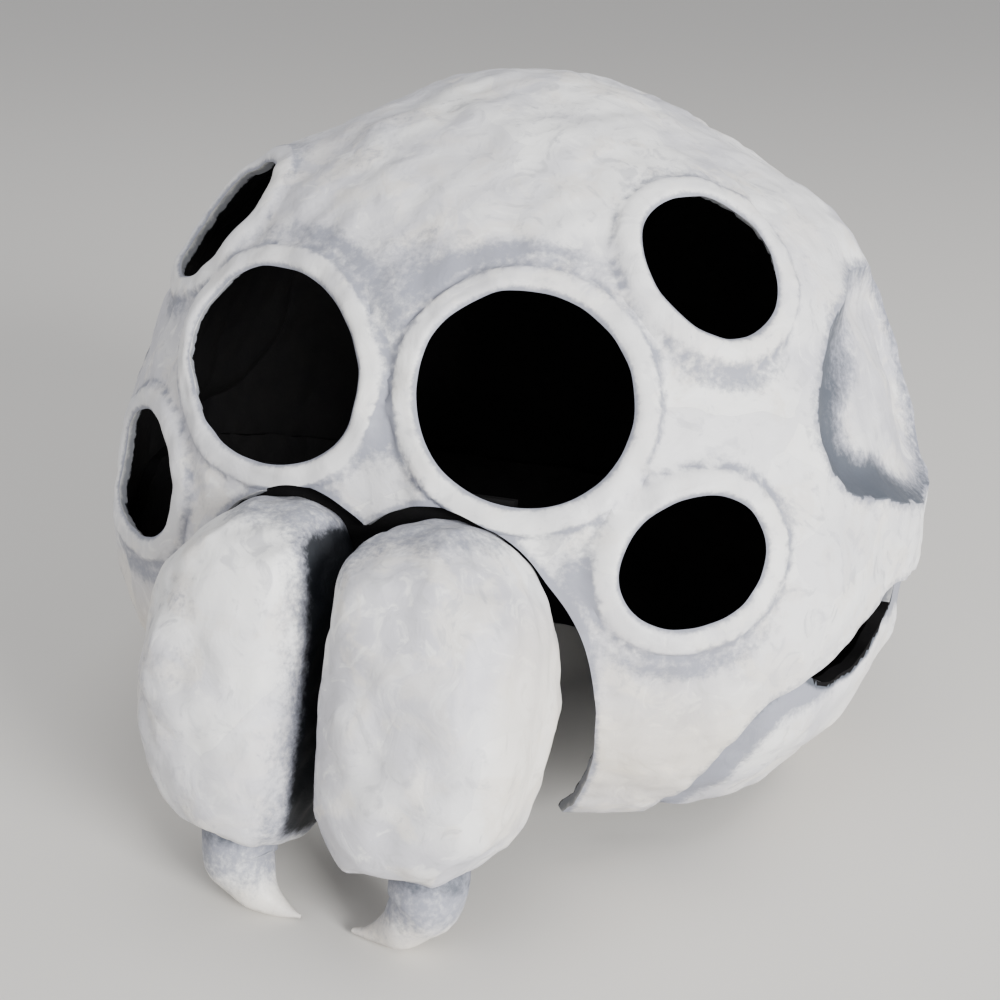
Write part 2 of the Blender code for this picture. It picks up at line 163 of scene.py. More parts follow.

# Bands of painted shade and cream on a jaw, as shares of its half sizes: across to its outer side, back and
# up
JAW_BLACK_ACROSS = (0.30, 0.62)
JAW_BLACK_BACK = (-0.78, -0.26)
JAW_BLACK_ENDS = (0.76, 0.95)
JAW_GREY_BACK = (-0.90, -0.65)
JAW_TOP_GREY = (0.80, 0.97)
JAW_FOOT_GREY = (0.85, 1.0)
JAW_SHADE_ACROSS = (-0.10, 0.08)
JAW_SHADE_UP = (0.5, 0.8)
JAW_CREAM_ACROSS = (0.75, 0.95)

# Least oval value, how many eye sizes away a point counts as far, and how many points are worked on at once
LEAST_OVAL = 0.02
EYE_SIZES_AWAY = 3
POINTS_AT_ONCE = 4000

Swelling = namedtuple("Swelling", "azimuth elevation reach rise")
Eye = namedtuple("Eye", "size azimuth elevation half_width half_height tilt fullness")
Patch = namedtuple("Patch", "centre normal right up")
Crescent = namedtuple("Crescent", "eye middle spread away width strength")
Smudge = namedtuple("Smudge", "azimuth elevation reach strength")
Flat = namedtuple("Flat", "turn lift share")
Jaw = namedtuple("Jaw", "name side x half_width shade")
Light = namedtuple("Light", "name position size power")

# Swellings and flats of the dome on each side: places and reach in degrees, rise in half widths
SWELLINGS = (
    Swelling(azimuth=0, elevation=10, reach=40, rise=-0.057),
    Swelling(azimuth=0, elevation=86, reach=18, rise=0.023),
    Swelling(azimuth=58, elevation=-25, reach=22, rise=0.063),
    Swelling(azimuth=62, elevation=42, reach=17, rise=0.026),
    Swelling(azimuth=70, elevation=57, reach=15, rise=-0.030),
    Swelling(azimuth=96, elevation=1, reach=10, rise=0.017),
    Swelling(azimuth=95, elevation=43, reach=10, rise=0.022),
    Swelling(azimuth=64, elevation=14, reach=20, rise=-0.014),
    Swelling(azimuth=90, elevation=-28, reach=16, rise=0.011),
    Swelling(azimuth=75, elevation=-58, reach=20, rise=-0.017),
)

# Open eyes: places and tilt in degrees, half sizes as shares of the eye's named size
EYES = (
    Eye(BIG_EYE, azimuth=21.1, elevation=15.6, half_width=0.98, half_height=1.03, tilt=52, fullness=1.93),
    Eye(BIG_EYE, azimuth=-20.7, elevation=16.1, half_width=1.18, half_height=0.90, tilt=-28, fullness=1.9),
    Eye(UPPER_EYE, azimuth=48.6, elevation=34.4, half_width=1.09, half_height=0.92, tilt=113, fullness=2.04),
    Eye(UPPER_EYE, azimuth=-50, elevation=35, half_width=1.09, half_height=0.92, tilt=-113, fullness=2.04),
    Eye(LOWER_EYE, azimuth=44.7, elevation=-3.9, half_width=0.89, half_height=1.11, tilt=-60, fullness=2.1),
    Eye(LOWER_EYE, azimuth=-44.7, elevation=-3.5, half_width=0.93, half_height=1.14, tilt=60, fullness=2.1),
)

# Raised ring round an eye: distance from the opening in ring widths, height in ring rises
RING_PROFILE = (
    (0, 0.30), (0.10, 0.70), (0.28, 1.00), (0.62, 0.96), (0.90, 0.86), (1.00, 0.66), (1.08, 0.00),
)

# Temple scoop seen from the side: angle up from straight back, radius in temple reaches
TEMPLE_OUTLINE = (
    (0, 1.00), (30, 0.98), (60, 0.93), (90, 0.82), (130, 0.83), (158, 0.92), (180, 1.05),
    (198, 1.15), (208, 1.12), (218, 1.00), (230, 0.82), (264, 0.69), (300, 0.77), (330, 0.93), (360, 1.00),
)

# Mouth lobe seen from the front: angle up from straight outwards, radius in lobes
MOUTH_OUTLINE = (
    (-95, 2.40), (-88, 1.60), (-78, 1.23), (-62, 1.04), (-41, 0.89), (-15, 0.76), (10, 0.73), (34, 0.745),
    (53, 0.775), (71, 0.865), (88, 0.95), (102, 1.04), (115, 1.08), (130, 1.09), (180, 1.30), (230, 2.40),
)

# Carapace edge: azimuth from the face, elevation of the edge
EDGE_LINE = (
    (0, -80), (50, -74), (54, -56), (55.2, -34), (56.6, -24.5), (59, -20.5), (63.7, -18.3), (68.8, -16),
    (74, -12), (78.8, -8.8), (84, -7.4), (95, -7), (120, -8), (150, -10), (180, -11),
)

# Top of the lower shell on the wearer's left: azimuth, height over the carapace edge in tucks where it is
# above, slits where below. On the right it has the height of the first row all the way
TUCK_LINE = (
    (0, 1.0), (60, 1.0), (64, 0.3), (66.5, -0.25), (71, -0.75), (77, -1.0), (83.5, -0.85), (88, -0.1),
    (92, 1.0), (180, 1.0),
)

# Fang: height below its root and inward sweep, as shares of the drop and the sweep, then thickness
FANG_ROUTE = (
    (0.00, 0.00, 1.00), (0.36, 0.03, 0.97), (0.58, 0.16, 0.80), (0.80, 0.36, 0.58),
    (0.93, 0.60, 0.34), (1.00, 0.82, 0.17), (1.02, 1.00, 0.06),
)

# Brushed shade beside the eyes, on both sides: eye size, angle of its middle and half spread in degrees,
# distance from the opening and half width in ring widths, strength
CRESCENTS = (
    Crescent("big", middle=108, spread=48, away=1.80, width=0.60, strength=1.0),
    Crescent("big", middle=200, spread=35, away=1.50, width=0.40, strength=0.45),
    Crescent("upper", middle=95, spread=45, away=1.55, width=0.35, strength=0.6),
    Crescent("upper", middle=-80, spread=38, away=1.65, width=0.55, strength=0.9),
    Crescent("lower", middle=55, spread=55, away=1.30, width=0.25, strength=0.7),
    Crescent("lower", middle=-85, spread=52, away=1.75, width=0.60, strength=1.0),
)

# Brushed smudges between the features, and painted shade over the crown: azimuth, elevation and reach in
# degrees, strength
SMUDGES = (
    Smudge(azimuth=0, elevation=33, reach=6, strength=0.7),
    Smudge(azimuth=0, elevation=10, reach=5, strength=0.5),
    Smudge(azimuth=31, elevation=-8, reach=5, strength=0.9),
    Smudge(azimuth=-36, elevation=-3, reach=5, strength=0.8),
    Smudge(azimuth=33, elevation=17, reach=5, strength=0.5),
    Smudge(azimuth=-34, elevation=18, reach=5, strength=0.4),
    # Painted shade over the crown, where the top turns from the light
    Smudge(azimuth=20, elevation=62, reach=9, strength=0.35),
    Smudge(azimuth=-25, elevation=55, reach=8, strength=0.35),
)

# Flattened places on a jaw: turn from straight ahead to its outer side, lift, and what is left of its reach
JAW_FLATS = (
    Flat(turn=-10, lift=60, share=0.91),
    Flat(turn=60, lift=48, share=0.90),
    Flat(turn=15, lift=-62, share=0.95),
    Flat(turn=78, lift=-45, share=0.92),
    Flat(turn=45, lift=8, share=0.95),
    Flat(turn=180, lift=0, share=0.95),
)

# Shade: painted shade on the outer half of each jaw
JAWS = (
    Jaw("left", side=1, x=LEFT_JAW_X, half_width=LEFT_JAW_HALF_WIDTH, shade=0.05),
    Jaw("right", side=-1, x=RIGHT_JAW_X, half_width=RIGHT_JAW_HALF_WIDTH, shade=0.26),
)


# Smooth line through the rows of a table, with no overshoot
def table_value(rows, positions):
    at, value = np.array([row[:2] for row in rows], float).T
    slopes = np.diff(value) / np.diff(at)
    before, after = slopes[:-1], slopes[1:]
    same_way = before * after > 0
    total = np.where(same_way, before + after, 1.0)
    inner = np.where(same_way, 2 * before * after / total, 0.0)
    tangents = np.concatenate([slopes[:1], inner, slopes[-1:]])
    positions = np.clip(positions, at[0], at[-1])
    index = np.clip(np.searchsorted(at, positions, side="right") - 1, 0, len(slopes) - 1)
    span = np.diff(at)[index]
    share = (positions - at[index]) / span
    rest = 1 - share
    return (value[index] * (1 + 2 * share) * rest ** 2 + value[index + 1] * (3 - 2 * share) * share ** 2
            + span * (tangents[index] * share * rest ** 2 - tangents[index + 1] * share ** 2 * rest))


def smooth_step(value, low, high):
    share = np.clip((value - low) / (high - low), 0.0, 1.0)
    return share * share * (3 - 2 * share)


# How near a value is to the middle of a band, from 1 there to 0 well outside it
def bell(value, middle, width):
    return np.exp(-((value - middle) / width) ** 2)


def unit(points):
    return points / np.linalg.norm(points, axis=-1, keepdims=True)


# Azimuth from the face towards +X, and elevation
def heading(azimuth, elevation):
    turn, lift = np.radians(azimuth), np.radians(elevation)
    return np.stack([np.sin(turn) * np.cos(lift), -np.cos(turn) * np.cos(lift), np.sin(lift)], axis=-1)


def azimuth_of(points):
    return np.degrees(np.arctan2(points[..., 0], -points[..., 1]))


def elevation_of(points):
    return np.degrees(np.arcsin(np.clip(unit(points)[..., 2], -1, 1)))


SWELLING_HEADINGS = [
    (heading(side * row.azimuth, row.elevation), row)
    for row in SWELLINGS
    for side in ((1, -1) if row.azimuth else (1,))
]


# The dome's smooth surface in the direction of each point
def on_form(points):
    way = unit(points)
    depth = np.where(way[..., 1] < 0, FRONT_DEPTH, BACK_DEPTH)
    height = np.where(way[..., 2] > 0, CROWN_HEIGHT, JAW_DEPTH)
    x, y, z = way[..., 0] / HALF_WIDTH, way[..., 1] / depth, way[..., 2] / height
    reach = 1 / np.sqrt(x ** 2 + y ** 2 + z ** 2)
    for middle, row in SWELLING_HEADINGS:
        away = np.degrees(np.arccos(np.clip(way @ middle, -1, 1)))
        reach = reach + row.rise * HALF_WIDTH * bell(away, 0, row.reach)
    return way * reach[..., None]


# The flat frame that touches the dome at one place
def patch(azimuth, elevation):
    step = 2.0
    centre = on_form(heading(azimuth, elevation))
    across = on_form(heading(azimuth + step, elevation)) - on_form(heading(azimuth - step, elevation))
    upward = on_form(heading(azimuth, elevation + step)) - on_form(heading(azimuth, elevation - step))
    normal = unit(np.cross(across, upward))
    right = unit(np.array([-normal[1], normal[0], 0.0]))
    return Patch(centre, normal, right, np.cross(normal, right))


EYE_PATCHES = [(eye, patch(eye.azimuth, eye.elevation)) for eye in EYES]


# Distance outside an eye's oval, less than zero in the opening
def eye_distance(eye, spot, points):
    offset = points - spot.centre
    turn = radians(eye.tilt)
    right, up = offset @ spot.right, offset @ spot.up
    across = right * cos(turn) + up * sin(turn)
    along = up * cos(turn) - right * sin(turn)
    power = eye.fullness
    oval = (np.abs(across / (eye.half_width * eye.size)) ** power
            + np.abs(along / (eye.half_height * eye.size)) ** power) ** (1 / power)
    away = np.hypot(across, along) * (1 - 1 / np.maximum(oval, LEAST_OVAL))
    return np.where(np.linalg.norm(offset, axis=-1) > EYE_SIZES_AWAY * eye.size, FAR, away)


def eyes_distance(points):
    return np.min([eye_distance(eye, spot, points) for eye, spot in EYE_PATCHES], axis=0)


def temple_distance(points):
    back, up = points[..., 1] - TEMPLE_Y, points[..., 2] - TEMPLE_Z
    angle = np.degrees(np.arctan2(up, back)) % 360
    away = np.hypot(back, up) - TEMPLE_REACH * table_value(TEMPLE_OUTLINE, angle)
    return np.where(np.abs(points[..., 0]) < HALF_WIDTH / 2, FAR, away)


def mouth_distance(points):
    out, up = np.abs(points[..., 0]) - LOBE_X, points[..., 2] - LOBE_Z
    angle = (np.degrees(np.arctan2(up, out)) + 100) % 360 - 100
    away = np.hypot(out, up) - LOBE * table_value(MOUTH_OUTLINE, angle)
    return np.where(points[..., 1] > 0, FAR, away)


# Points close together along the carapace's lower edge
def edge_points():
    azimuths = np.concatenate([
        np.linspace(start[0], end[0], EDGE_STEPS, endpoint=False)
        for start, end in zip(EDGE_LINE, EDGE_LINE[1:])
    ])
    elevations = table_value(EDGE_LINE, azimuths)
    points = np.concatenate([on_form(heading(side * azimuths, elevations)) for side in (1, -1)])
    tree = KDTree(len(points))
    for index, point in enumerate(points):
        tree.insert(point, index)
    tree.balance()
    return tree


EDGE_POINTS = edge_points()


# Distance above the carapace's lower edge
def edge_distance(points):
    rise = elevation_of(points) - table_value(EDGE_LINE, np.abs(azimuth_of(points)))
    away = np.array([EDGE_POINTS.find(point)[2] for point in points])
    return np.copysign(away, rise)


# Distance above the lower shell's top edge
def tuck_distance(points):
    share = table_value(TUCK_LINE, np.maximum(azimuth_of(points), 0.0))
    return edge_distance(points) - np.where(share > 0, share * TUCK, share * SLIT)


# Distance above a plane that leaves enough below the neck rim for its flat cut
def over_neck(points):
    return points[..., 2] - NECK_Z - NECK_SLOPE * points[..., 1] + 2 * WALL


# Directions spread evenly all round, shifted a little so that no two gaps are alike
def spread_ways(count, seed):
    steps = np.arange(count) + 0.5
    golden_turn = 180 * (1 + 5 ** 0.5)
    ways = heading(golden_turn * steps, np.degrees(np.arcsin(1 - 2 * steps / count)))
    return unit(ways + np.random.default_rng(seed).normal(0, 0.5 / count ** 0.5, (count, 3)))


FACET_CENTRES = on_form(spread_ways(int(4 * pi * HALF_WIDTH ** 2 / FACET_REACH ** 2), seed=7))
LUMP_WAYS = unit(np.random.default_rng(11).normal(0, 1, (LUMP_COUNT, 3)))
LUMP_STARTS = np.random.default_rng(12).uniform(0, 2 * pi, LUMP_COUNT)


# Low lumps that run on through every piece
def lumps(points):
    height = np.zeros(len(points))
    for index, (way, start) in enumerate(zip(LUMP_WAYS, LUMP_STARTS)):
        length = LUMP_LENGTH / (1 + LUMP_SHORTENING * index)
        height += np.cos(points @ way * 2 * pi / length + start) / (1 + LUMP_FADING * index)
    return LUMP_RISE * height


# Flattened facets on a round form: it rises towards the creases where two of them meet
def facets(points, centres, reach, radius):
    softness = FACET_SOFTNESS * reach ** 2
    height = np.empty(len(points))
    for start in range(0, len(points), POINTS_AT_ONCE):
        part = points[start:start + POINTS_AT_ONCE]
        squares = ((part[:, None, :] - centres[None, :, :]) ** 2).sum(axis=2)
        nearest = squares.min(axis=1)
        soft = nearest - softness * np.log(np.exp((nearest[:, None] - squares) / softness).sum(axis=1))
        height[start:start + POINTS_AT_ONCE] = soft
    return (height - reach ** 2 / 6) / (2 * radius)


def paper_surface(points):
    return lumps(points) + FACET_SHARE * facets(points, FACET_CENTRES, FACET_REACH, HALF_WIDTH)


def places(bm):
    return np.array([vert.co for vert in bm.verts], float).reshape(-1, 3)


def place(bm, points):
    for vert, point in zip(bm.verts, points):
        vert.co = point


# Dome triangles, finer near the lines that will be cut
def dome_mesh(lines):
    bm = bmesh.new()
    bmesh.ops.create_icosphere(bm, subdivisions=DOME_STEPS, radius=HALF_WIDTH)
    place(bm, on_form(places(bm)))
    middles = np.array([face.calc_center_median() for face in bm.faces])
    nearest = np.min([np.abs(line(middles)) for line in lines], axis=0)
    near = set()
    for face, away in zip(bm.faces, nearest):
        if away < FINE_REACH:
            near.update(face.edges)
    bmesh.ops.subdivide_edges(bm, edges=list(near), cuts=1, use_grid_fill=True)
    bmesh.ops.triangulate(bm, faces=[face for face in bm.faces if len(face.verts) > 3])
    place(bm, on_form(places(bm)))
    return bm


# Where each pair of points has the line between them, on the dome
def crossings(inner, outer, distance):
    for _ in range(CROSSING_STEPS):
        middle = (inner + outer) / 2
        low = (distance(middle) < 0)[:, None]
        inner, outer = np.where(low, middle, inner), np.where(low, outer, middle)
    return on_form((inner + outer) / 2)


# Put mesh edges along the line where a distance is zero
def cut_line(bm, distance, kept):
    bm.verts.index_update()
    points = places(bm)
    value = distance(points)
    edges = [edge for edge in bm.edges if value[edge.verts[0].index] * value[edge.verts[1].index] < 0]
    ends = np.array([[vert.index for vert in edge.verts] for edge in edges])
    first_low = (value[ends[:, 0]] < 0)[:, None]
    first, second = points[ends[:, 0]], points[ends[:, 1]]
    found = crossings(np.where(first_low, first, second), np.where(first_low, second, first), distance)
    nearest = {}
    for edge, pair, point in zip(edges, ends, found):
        reach = SNAP_SHARE * edge.calc_length()
        for vert, index in zip(edge.verts, pair):
            away = np.linalg.norm(points[index] - point)
            if vert not in kept and away < reach and away < nearest.get(vert, (reach, None))[0]:
                nearest[vert] = (away, point)
    on_line = set(nearest)
    for vert, (_, point) in nearest.items():
        vert.co = point
    for edge, point in zip(edges, found):
        if on_line.isdisjoint(edge.verts):
            vert = bmesh.utils.edge_split(edge, edge.verts[0], 0.5)[1]
            vert.co = point
            on_line.add(vert)
    bmesh.ops.connect_verts(bm, verts=list(on_line))
    bmesh.ops.triangulate(bm, faces=[face for face in bm.faces if len(face.verts) > 3])
    kept.update(on_line)


# Remove the faces on the low side of a line
def open_below(bm, distance):
    faces = bm.faces[:]
    low = distance(np.array([face.calc_center_median() for face in faces])) < 0
    bmesh.ops.delete(bm, geom=[face for face, gone in zip(faces, low) if gone], context="FACES")


# Turn every face outwards
def outward(bm):
    bm.normal_update()
    bmesh.ops.recalc_face_normals(bm, faces=bm.faces[:])


# How the level head stands: its neck rim shows how far it leans back
def stance_matrix():
    rim = next(mount for mount in frame["record"]["mounts"] if mount["name"] == "neck_rim")
    lean = atan2(rim["axis"][2], rim["axis"][1]) - atan2(-1, NECK_SLOPE)
    turn = Matrix.Rotation(lean, 4, "X")
    return Matrix.Translation(Vector(rim["pos_m"]) - turn @ Vector((NECK_POINT_X, 0, NECK_Z))) @ turn


STANCE = stance_matrix()


# Give a mesh a value at each point, for its paint
def set_values(mesh, name, values):
    attribute = mesh.attributes.new(name, "FLOAT", "POINT")
    attribute.data.foreach_set("value", np.asarray(values, np.float32))


def mesh_points(mesh):
    points = np.empty(len(mesh.vertices) * 3)
    mesh.vertices.foreach_get("co", points)
    return points.reshape(-1, 3)


# Finish a level mesh as a piece: lean it back, shade it and let it ride with the head
def finish_piece(name, mesh, node, sharp_angle=45):
    mesh.transform(STANCE)
    mesh.shade_smooth()
    mesh.set_sharp_from_angle(angle=radians(sharp_angle))
    piece = bpy.data.objects.new(name, mesh)
    bpy.context.scene.collection.objects.link(piece)
    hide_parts(node)
    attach(piece, "root")
    return piece


# Thicken an open shell inwards, then cut it flat at the neck rim
def walled(bm, name):
    outward(bm)
    mesh = bpy.data.meshes.new(name)
    bm.to_mesh(mesh)
    bm.free()
    for material in (PAPER_WHITE, INNER_BLACK, CUT_EDGE):
        mesh.materials.append(material)
    outer_count = len(mesh.vertices)
    shell = bpy.data.objects.new(name + "_shell", mesh)
    bpy.context.scene.collection.objects.link(shell)
    wall = shell.modifiers.new("wall", "SOLIDIFY")
    wall.thickness = WALL
    wall.offset = -1.0
    wall.material_offset = INNER
    wall.material_offset_rim = RIM
    graph = bpy.context.evaluated_depsgraph_get()
    walled_mesh = bpy.data.meshes.new_from_object(shell.evaluated_get(graph))
    bpy.data.objects.remove(shell)
    bpy.data.meshes.remove(mesh)
    inside = np.zeros(len(walled_mesh.vertices))
    inside[outer_count:] = 1.0
    set_values(walled_mesh, "inside", inside)
    bm = bmesh.new()
    bm.from_mesh(walled_mesh)
    cut = bmesh.ops.bisect_plane(
        bm, geom=bm.verts[:] + bm.edges[:] + bm.faces[:], dist=1e-7, clear_inner=True,
        plane_co=(0, 0, NECK_Z), plane_no=(0, -NECK_SLOPE, 1),
    )
    rim_edges = [item for item in cut["geom_cut"] if isinstance(item, bmesh.types.BMEdge)]
    filled = bmesh.ops.triangle_fill(bm, edges=rim_edges, use_beauty=True)
    for item in filled["geom"]:
        if isinstance(item, bmesh.types.BMFace):
            item.material_index = RIM
    outward(bm)
    bm.to_mesh(walled_mesh)
    bm.free()
    walled_mesh.name = name
    return walled_mesh


# Height of the carapace's relief over the smooth dome
def carapace_relief(points):
    ring = table_value(RING_PROFILE, np.maximum(eyes_distance(points), 0.0) / RIM_WIDTH)
    scoop = np.clip(-temple_distance(points) / TEMPLE_SLOPE, 0.0, 1.0)
    return RIM_RISE * ring - TEMPLE_DEPTH * np.sin(scoop * pi / 2) + paper_surface(points)


EYE_SIZES = {BIG_EYE: "big", UPPER_EYE: "upper", LOWER_EYE: "lower"}


# Grey brushed beside the eyes
def crescent_shade(points):
    shade = np.zeros(len(points))
    for eye, spot in EYE_PATCHES:
        offset = points - spot.centre
        side = 1 if eye.azimuth > 0 else -1
        angle = np.degrees(np.arctan2(offset @ spot.up, side * (offset @ spot.right)))
        away = eye_distance(eye, spot, points) / RIM_WIDTH
        for row in CRESCENTS:
            if row.eye == EYE_SIZES[eye.size]:
                turn = (angle - row.middle + 180) % 360 - 180
                shade += row.strength * bell(turn, 0, row.spread) * bell(away, row.away, row.width)
    return shade


# Painted shade, dark, in the scooped temple, deepest under its front and lower edge
def temple_shade(points):
    back, up = points[:, 1] - TEMPLE_Y, points[:, 2] - TEMPLE_Z
    angle = np.degrees(np.arctan2(up, back)) % 360
    turn = (angle - TEMPLE_DARKEST + 180) % 360 - 180
    depth = -temple_distance(points)
    reach = TEMPLE_SHADE_REACH
    for deeper, middle, spread in TEMPLE_SHADE_DEEPER:
        reach = reach + deeper * bell(angle, middle, spread)
    fade = 1 - smooth_step(depth / reach, *TEMPLE_SHADE_FADE)
    return (depth > 0) * fade * (0.45 + 0.9 * bell(turn, 0, TEMPLE_DARK_SPREAD))


# Grey brushed in patches between the eyes, the mouth and over the brow, and painted shade over the crown
def smudge_shade(points):
    ways = unit(points)
    shade = np.zeros(len(points))
    for row in SMUDGES:
        away = np.degrees(np.arccos(np.clip(ways @ heading(row.azimuth, row.elevation), -1, 1)))
        shade += row.strength * bell(away, 0, row.reach)
    return shade


def paint_carapace(mesh):
    points = mesh_points(mesh)
    edge, mouth, ring = edge_distance(points), mouth_distance(points), eyes_distance(points) / RIM_WIDTH
    on_ring = 1 - smooth_step(ring, 0.92, 1.06)
    # Painted shade just outside each raised ring, at the foot of its outer step
    beside_ring = 0.75 * bell(ring, 1.14, 0.14)
    # Grey brushed beside the eyes and between the features, and painted shade along the mouth, the lower
    # edge and the temple's edge
    wash_and_painted_shade = crescent_shade(points) + smudge_shade(points) + beside_ring + 0.9 * bell(mouth, 0, MOUTH_EDGE_SHADE)
    wash_and_painted_shade += 0.6 * bell(edge, 0, LOWER_EDGE_SHADE) + 0.8 * bell(temple_distance(points), 0, TEMPLE_EDGE_SHADE)
    # Painted shade at the lip of each eye opening
    lip = 1.2 * bell(ring, 0, 0.18)
    set_values(mesh, "wash_and_painted_shade", wash_and_painted_shade * (1 - on_ring) + lip)
    # Painted shade in the scooped temple
    set_values(mesh, "painted_shade", temple_shade(points))
    set_values(mesh, "bright", on_ring)
    set_values(mesh, "cream", bell(points[:, 2], CHIN_HEIGHT, CHIN_REACH) * (points[:, 1] < 0))


def paint_under_shell(mesh):
    points = mesh_points(mesh)
    edge, tuck = edge_distance(points), tuck_distance(points)
    # Painted shadow under the carapace's edge: grey fading downwards, dark at the crease
    set_values(mesh, "wash_and_painted_shade", 1.5 * smooth_step(edge, *CREASE_FADE))
    # Painted shade in the slit: dark along the lower shell's top edge
    set_values(mesh, "painted_shade", bell(edge, CREASE_SHADOW, CREASE_SHADOW_REACH) + 1.5 * bell(tuck, 0, SLIT_SHADOW))
    set_values(mesh, "cream", 0.5 * smooth_step(-edge, 0.03, 0.07))
    middles = np.array([face.center for face in mesh.polygons])
    azimuths, above = azimuth_of(middles), edge_distance(middles)
    # Inside black on faces out of sight, and black by the slit as painted shade in the gap
    slit_shadow = (azimuths > SLIT_ENDS[0]) & (azimuths < SLIT_ENDS[1]) & (above > SLIT_SHADOW_DEPTH)
    painted_black = (above > HIDDEN_OVER_EDGE) | (tuck_distance(middles) > HIDDEN_BY_TUCK) | slit_shadow
    for face, is_painted_black in zip(mesh.polygons, painted_black):
        if is_painted_black:
            face.material_index = INNER


# The domed upper shell with its eyes, temples and mouth
def make_carapace(dome):
    bm = dome.copy()
    kept = set()
    for line in (edge_distance, eyes_distance, mouth_distance, temple_distance):
        cut_line(bm, line, kept)
    cut_line(bm, lambda points: eyes_distance(points) - RIM_WIDTH, kept)
    for line in (edge_distance, eyes_distance, mouth_distance, over_neck):
        open_below(bm, line)
    points = places(bm)
    place(bm, points + unit(points) * carapace_relief(points)[:, None])
    mesh = walled(bm, "carapace_painted")
    paint_carapace(mesh)
    return finish_piece("carapace_painted", mesh, "carapace")


# The lower shell, tucked inside the carapace and swelling out below its edge
def make_under_shell(dome):
    bm = dome.copy()
    kept = set()
    for line in (edge_distance, tuck_distance, mouth_distance):
        cut_line(bm, line, kept)
    for line in (lambda points: -tuck_distance(points), mouth_distance, over_neck):
        open_below(bm, line)
    bm.normal_update()
    points = places(bm)
    normals = np.array([vert.normal for vert in bm.verts])
    share = np.clip(-edge_distance(points) / STEP_RUN, 0.0, 1.0)
    inset = (WALL + SHELL_GAP) * (1 - share)
    place(bm, points + unit(points) * paper_surface(points)[:, None] - normals * inset[:, None])
    mesh = walled(bm, "under_shell_painted")
    paint_under_shell(mesh)
    return finish_piece("under_shell_painted", mesh, "under_shell")


# Points of a jaw in given directions: full in height, boxier in plan and on its inner side
def jaw_form(ways):
    inner = smooth_step(-ways[:, 0], -0.5, 0.5)
    power = JAW_OUTER_PROFILE + (JAW_INNER_PROFILE - JAW_OUTER_PROFILE) * inner
    plan = (np.abs(ways[:, :2]) ** JAW_PLAN).sum(axis=1) ** (1 / JAW_PLAN)
    return ways * ((plan ** power + np.abs(ways[:, 2]) ** power) ** (-1 / power))[:, None]


# A rounded jaw with flattened places, with painted shade, black, on the side that faces the other jaw
def make_jaw(jaw):
    half = np.array([jaw.half_width, JAW_HALF_DEPTH, JAW_HALF_HEIGHT])
    bm = bmesh.new()
    bmesh.ops.create_icosphere(bm, subdivisions=JAW_STEPS, radius=1.0)
    points = jaw_form(places(bm)) * half
    across, deep = points[:, 0] / jaw.half_width, points[:, 1] / JAW_HALF_DEPTH
    facet_count = int(4 * pi * JAW_ROUND ** 2 / JAW_FACET_REACH ** 2)
    centres = jaw_form(spread_ways(facet_count, seed=3 + jaw.side)) * half
    height = JAW_FACET_SHARE * facets(points, centres, JAW_FACET_REACH, JAW_ROUND)
    points += unit(points) * height[:, None]
    for flat in JAW_FLATS:
        way = heading(flat.turn, flat.lift)
        over = points @ way - flat.share * (points @ way).max()
        points -= FLAT_PRESS * np.maximum(over, 0)[:, None] * way
    up = points[:, 2] / JAW_HALF_HEIGHT
    points[:, 0] -= JAW_BOW * up ** 2
    points = (points + [jaw.x, JAW_Y, JAW_Z]) * [jaw.side, 1, 1]
    points += unit(points - [jaw.side * jaw.x, JAW_Y, JAW_Z]) * lumps(points)[:, None]
    place(bm, points)
    outward(bm)
    mesh = bpy.data.meshes.new("chelicera_painted_" + jaw.name)
    bm.to_mesh(mesh)
    bm.free()
    mesh.materials.append(JAW_WHITE)
    # Painted shade between the jaws: black on the inner side, grey in front of it
    inner = smooth_step(-across, *JAW_BLACK_ACROSS) * (1 - 0.8 * smooth_step(np.abs(up), *JAW_BLACK_ENDS))
    set_values(mesh, "painted_shade", 1.25 * inner * smooth_step(deep, *JAW_BLACK_BACK))
    wash_and_painted_shade = 0.5 * inner * smooth_step(deep, *JAW_GREY_BACK)
    # Painted shade on the top and the foot of the jaw
    wash_and_painted_shade += 0.8 * smooth_step(up, *JAW_TOP_GREY) + 0.5 * smooth_step(-up, *JAW_FOOT_GREY)
    # Painted shade on the outer half, strong on the right jaw, which turns that half from the light
    wash_and_painted_shade += jaw.shade * smooth_step(across, *JAW_SHADE_ACROSS) * (1 - smooth_step(up, *JAW_SHADE_UP))
    set_values(mesh, "wash_and_painted_shade", wash_and_painted_shade)
    set_values(mesh, "cream", 0.7 * smooth_step(across, *JAW_CREAM_ACROSS))
    return finish_piece("chelicera_painted_" + jaw.name, mesh, "chelicera_" + jaw.name)


# Centre, lean and thickness of a fang at even steps from its root to its tip
def fang_stations(side):
    steps = np.linspace(0, 1, FANG_STATIONS)
    rows = np.array(FANG_ROUTE)
    at = np.linspace(0, 1, len(rows))
    drop, sweep, thickness = (table_value(list(zip(at, rows[:, column])), steps) for column in range(3))
    root_z = JAW_Z - JAW_HALF_HEIGHT
    centres = np.stack([
        side * (FANG_X - FANG_SWEEP * sweep),
        np.full(FANG_STATIONS, FANG_Y),
        root_z - FANG_DROP * drop,
    ], axis=1)
    ways = np.gradient(centres, axis=0)
    for centre, way, share in zip(centres, ways, thickness):
        lean = Matrix.Rotation(atan2(-way[0], -way[2]), 4, "Y")
        yield Matrix.Translation(centre) @ lean @ Matrix.Scale(FANG_RADIUS * share, 4)


